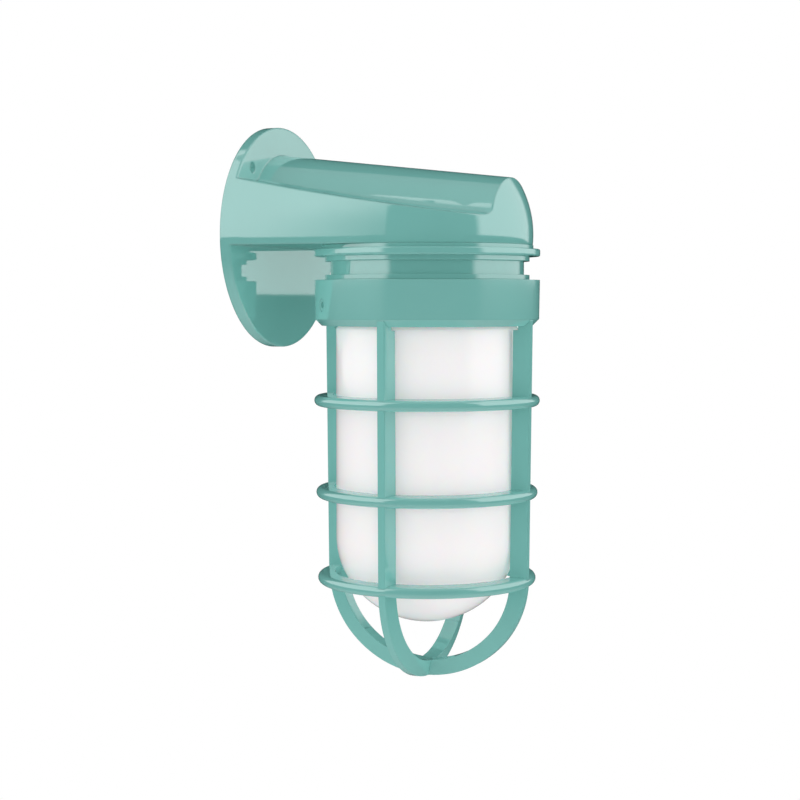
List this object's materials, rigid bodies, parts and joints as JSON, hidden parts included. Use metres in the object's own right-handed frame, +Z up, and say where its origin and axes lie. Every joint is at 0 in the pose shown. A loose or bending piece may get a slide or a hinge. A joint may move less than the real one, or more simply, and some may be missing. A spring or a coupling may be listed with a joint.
{
  "type": "cage wall light",
  "caption": "Cast wall light with a hooded arm on a round wall plate, a round fitter, an opal glass jar and a cage guard of ribs and rings over it.",
  "frame": {"origin": "centre of the round wall plate, on its back face, in the plane of the wall", "axes": "+X out of the wall into the room, +Y to the right for someone who faces the light, +Z up; the fitter, the jar and the guard share an upright axis at x = 0.108 m, y = 0"},
  "size_m": [0.1787, 0.1414, 0.3475],
  "materials": {
    "paint": "gloss enamel in pale sea green over cast aluminium",
    "rubber": "moulded matt",
    "brass": "turned",
    "steel": "zinc plated",
    "lead_black": "satin",
    "lead_white": "satin",
    "lead_green": "satin",
    "porcelain": "glazed porcelain",
    "opal_glass": "glossy opal",
    "lamp_glass": "soft white coated"
  },
  "bodies": {
    "fixture": {"arm_casting": "paint", "wall_gasket": "rubber", "earth_screw": "brass", "lead_live": "lead_black", "lead_neutral": "lead_white", "lead_earth": "lead_green", "flange_gasket": "rubber", "fitter_casting": "paint", "fitter_screw_set": "steel", "lampholder_strap": "steel", "strap_screws": "steel", "lampholder_screw": "steel", "lampholder_body": "porcelain", "lampholder_shell": "brass", "lampholder_contact": "brass", "terminal_screws": "brass"},
    "gasket": {"jar_gasket": "rubber"},
    "jar": {"glass_jar": "opal_glass"},
    "lamp_tip": {"lamp_contact": "brass"},
    "lamp": {"lamp_bulb": "lamp_glass", "lamp_cap": "steel"},
    "guard": {"guard_collar": "paint", "guard_rib_front": "paint", "guard_rib_back": "paint", "guard_rib_left": "paint", "guard_rib_right": "paint", "guard_ring_top": "paint", "guard_ring_middle": "paint", "guard_ring_bottom": "paint"},
    "screw_left": {"set_screw_left": "paint"},
    "screw_right": {"set_screw_right": "paint"}
  },
  "joints": [
    {"name": "guard_slide", "type": "slide", "parent": "fixture", "child": "guard", "axis": [0, 0, -1], "range_m": [0, 0.22]},
    {"name": "set_screw_left_slide", "type": "slide", "parent": "guard", "child": "screw_left", "axis": [-0.682, -0.7314, 0], "range_m": [0, 0.005]},
    {"name": "set_screw_right_slide", "type": "slide", "parent": "guard", "child": "screw_right", "axis": [0.682, 0.7314, 0], "range_m": [0, 0.005]},
    {"name": "jar_drop", "type": "slide", "parent": "fixture", "child": "gasket", "axis": [0, 0, -1], "range_m": [0, 0.015]},
    {"name": "jar_turn", "type": "hinge", "parent": "gasket", "child": "jar", "pos_m": [0.108, 0, -0.05], "axis": [0, 0, -1], "range_deg": [0, 1080]},
    {"name": "lamp_drop", "type": "slide", "parent": "fixture", "child": "lamp_tip", "axis": [0, 0, -1], "range_m": [0, 0.0254]},
    {"name": "lamp_turn", "type": "hinge", "parent": "lamp_tip", "child": "lamp", "pos_m": [0.108, 0, -0.045], "axis": [0, 0, -1], "range_deg": [0, 2520]}
  ],
  "couplings": [
    {"joint": "jar_drop", "follows": "jar_turn", "m_per_rad": 0.0007957},
    {"joint": "lamp_drop", "follows": "lamp_turn", "m_per_rad": 0.0005775}
  ]
}
